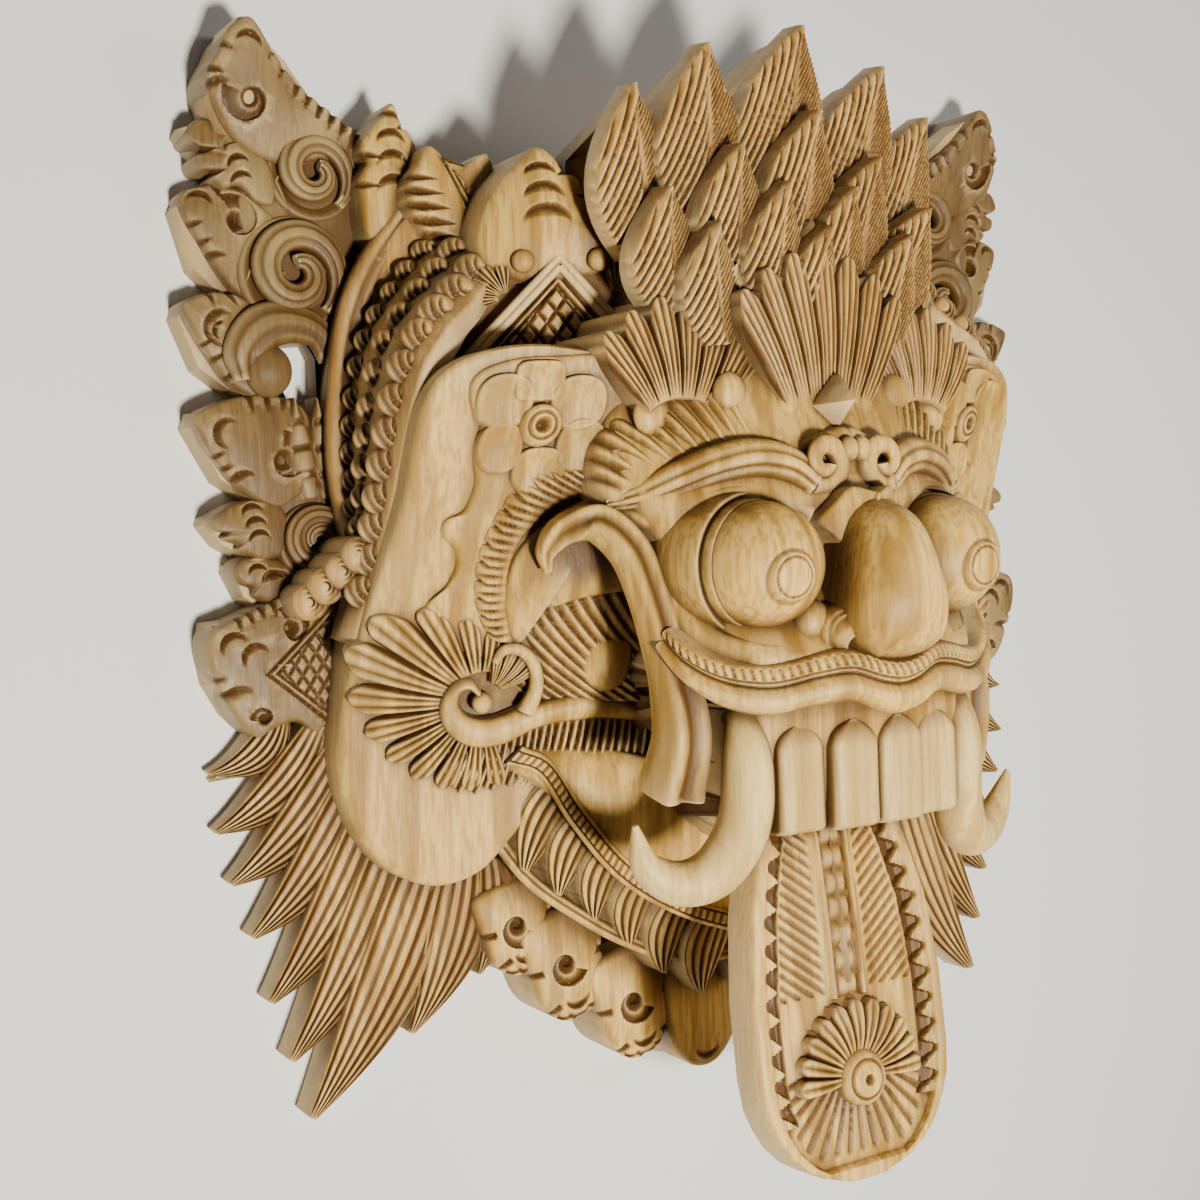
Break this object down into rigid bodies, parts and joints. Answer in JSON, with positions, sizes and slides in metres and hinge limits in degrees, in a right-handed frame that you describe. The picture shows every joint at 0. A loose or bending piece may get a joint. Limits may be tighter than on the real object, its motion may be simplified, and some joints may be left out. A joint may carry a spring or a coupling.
{
  "type": "carved wooden rangda mask",
  "caption": "One-piece carved wooden mask of a demon queen with winged sides, a feather crown, bulging eyes, curled tusks and a long hanging tongue; it lies on its flat back.",
  "frame": {"origin": "middle of the footprint of the mask lying on its flat back, at the height of the back face", "axes": "+Z out of the face, from the flat back towards the nose; +Y towards the crown; +X towards the wing on the viewer's right; X = 0 is the plane of symmetry"},
  "size_m": [0.372, 0.394, 0.164],
  "materials": {
    "pale_wood": "satin"
  },
  "bodies": {
    "root": {"mask": "pale_wood"}
  },
  "joints": []
}
